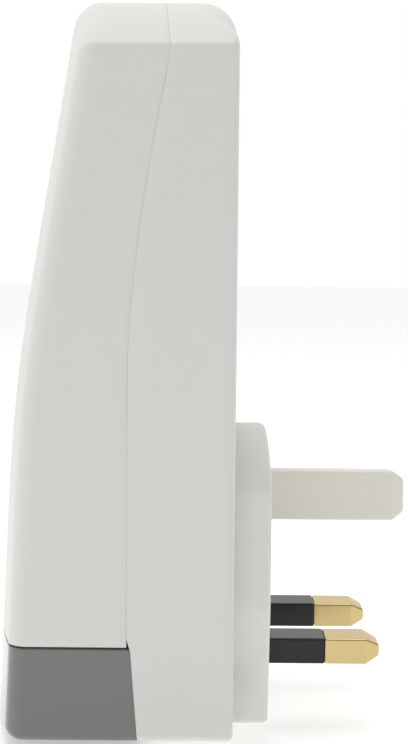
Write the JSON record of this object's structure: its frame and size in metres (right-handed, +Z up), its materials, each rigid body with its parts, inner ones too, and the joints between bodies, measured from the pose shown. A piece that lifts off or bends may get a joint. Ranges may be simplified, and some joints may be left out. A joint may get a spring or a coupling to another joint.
{
  "type": "plug-in power meter",
  "caption": "Tall moulded plug-in power meter with a display and keys on its curved front, a shuttered outlet below, a grey lower trim and flat plug pins on its back.",
  "frame": {"origin": "on the plug's engagement face, midway between the live and neutral pins", "axes": "+Z up, from the live and neutral pins towards the earth pin; +Y along the plug pins, out of the back; the front faces -Y; +X to the right when the front is faced"},
  "size_m": [0.06, 0.0649, 0.1134],
  "materials": {
    "white_plastic": "fine satin",
    "grey_plastic": "fine satin",
    "base_plastic": "smooth satin",
    "cream_plastic": "smooth satin",
    "pin_brass": "drawn and tumbled",
    "sleeve_plastic": "smooth satin",
    "clear_lens": "polished clear",
    "black_plastic": "moulded",
    "display_film": "grey-green film behind glass",
    "light_plastic": "milky",
    "soft_rubber": "silicone",
    "board_laminate": "solder resist over laminate",
    "chip_plastic": "moulded epoxy",
    "key_plastic": "satin",
    "outlet_plastic": "smooth",
    "shutter_plastic": "smooth",
    "spring_steel": "drawn wire",
    "plated_steel": "zinc plated",
    "strap_copper": "bare copper strip",
    "capacitor_red": "moulded box",
    "varistor_blue": "dipped epoxy",
    "capacitor_sleeve": "shrunk sleeve",
    "insulating_film": "thin film"
  },
  "bodies": {
    "case": {"rear_shell": "white_plastic", "front_shell": "white_plastic", "lower_trim": "grey_plastic", "plug_base": "base_plastic", "earth_pin": "cream_plastic", "live_pin": "pin_brass", "neutral_pin": "pin_brass", "live_sleeve": "sleeve_plastic", "neutral_sleeve": "sleeve_plastic", "display_lens": "clear_lens", "display_frame": "black_plastic", "display_glass": "display_film", "light_guide": "light_plastic", "contact_strips": "soft_rubber", "display_board": "board_laminate", "controller_chip": "chip_plastic", "key_mat": "soft_rubber", "outlet_face": "outlet_plastic", "shutter_spring": "spring_steel", "contact_block": "black_plastic", "live_contact": "pin_brass", "neutral_contact": "pin_brass", "power_board": "board_laminate", "metering_chip": "chip_plastic", "crystal_can": "plated_steel", "current_shunt": "strap_copper", "dropper_capacitor": "capacitor_red", "varistor": "varistor_blue", "smoothing_capacitor": "capacitor_sleeve", "backup_cell": "plated_steel", "cell_clip": "spring_steel", "board_link": "black_plastic", "insulation_sheet": "insulating_film", "live_feed_strap": "strap_copper", "live_load_strap": "strap_copper", "neutral_strap": "strap_copper", "case_screws": "plated_steel", "board_screws": "plated_steel"},
    "left_key": {"left_key": "key_plastic"},
    "middle_key": {"middle_key": "key_plastic"},
    "right_key": {"right_key": "key_plastic"},
    "shutter": {"shutter": "shutter_plastic"}
  },
  "joints": [
    {"name": "left_key_press", "type": "slide", "parent": "case", "child": "left_key", "axis": [0, 0.9859, -0.1671], "range_m": [0, 0.0008], "stiffness_N_per_m": 900, "springref_m": -0.0006},
    {"name": "middle_key_press", "type": "slide", "parent": "case", "child": "middle_key", "axis": [0, 0.9859, -0.1671], "range_m": [0, 0.0008], "stiffness_N_per_m": 900, "springref_m": -0.0006},
    {"name": "right_key_press", "type": "slide", "parent": "case", "child": "right_key", "axis": [0, 0.9859, -0.1671], "range_m": [0, 0.0008], "stiffness_N_per_m": 900, "springref_m": -0.0006},
    {"name": "shutter_slide", "type": "slide", "parent": "case", "child": "shutter", "axis": [0, -0.0793, -0.9968], "range_m": [0, 0.0056], "stiffness_N_per_m": 120, "springref_m": -0.003, "deforming": ["shutter_spring"]}
  ]
}
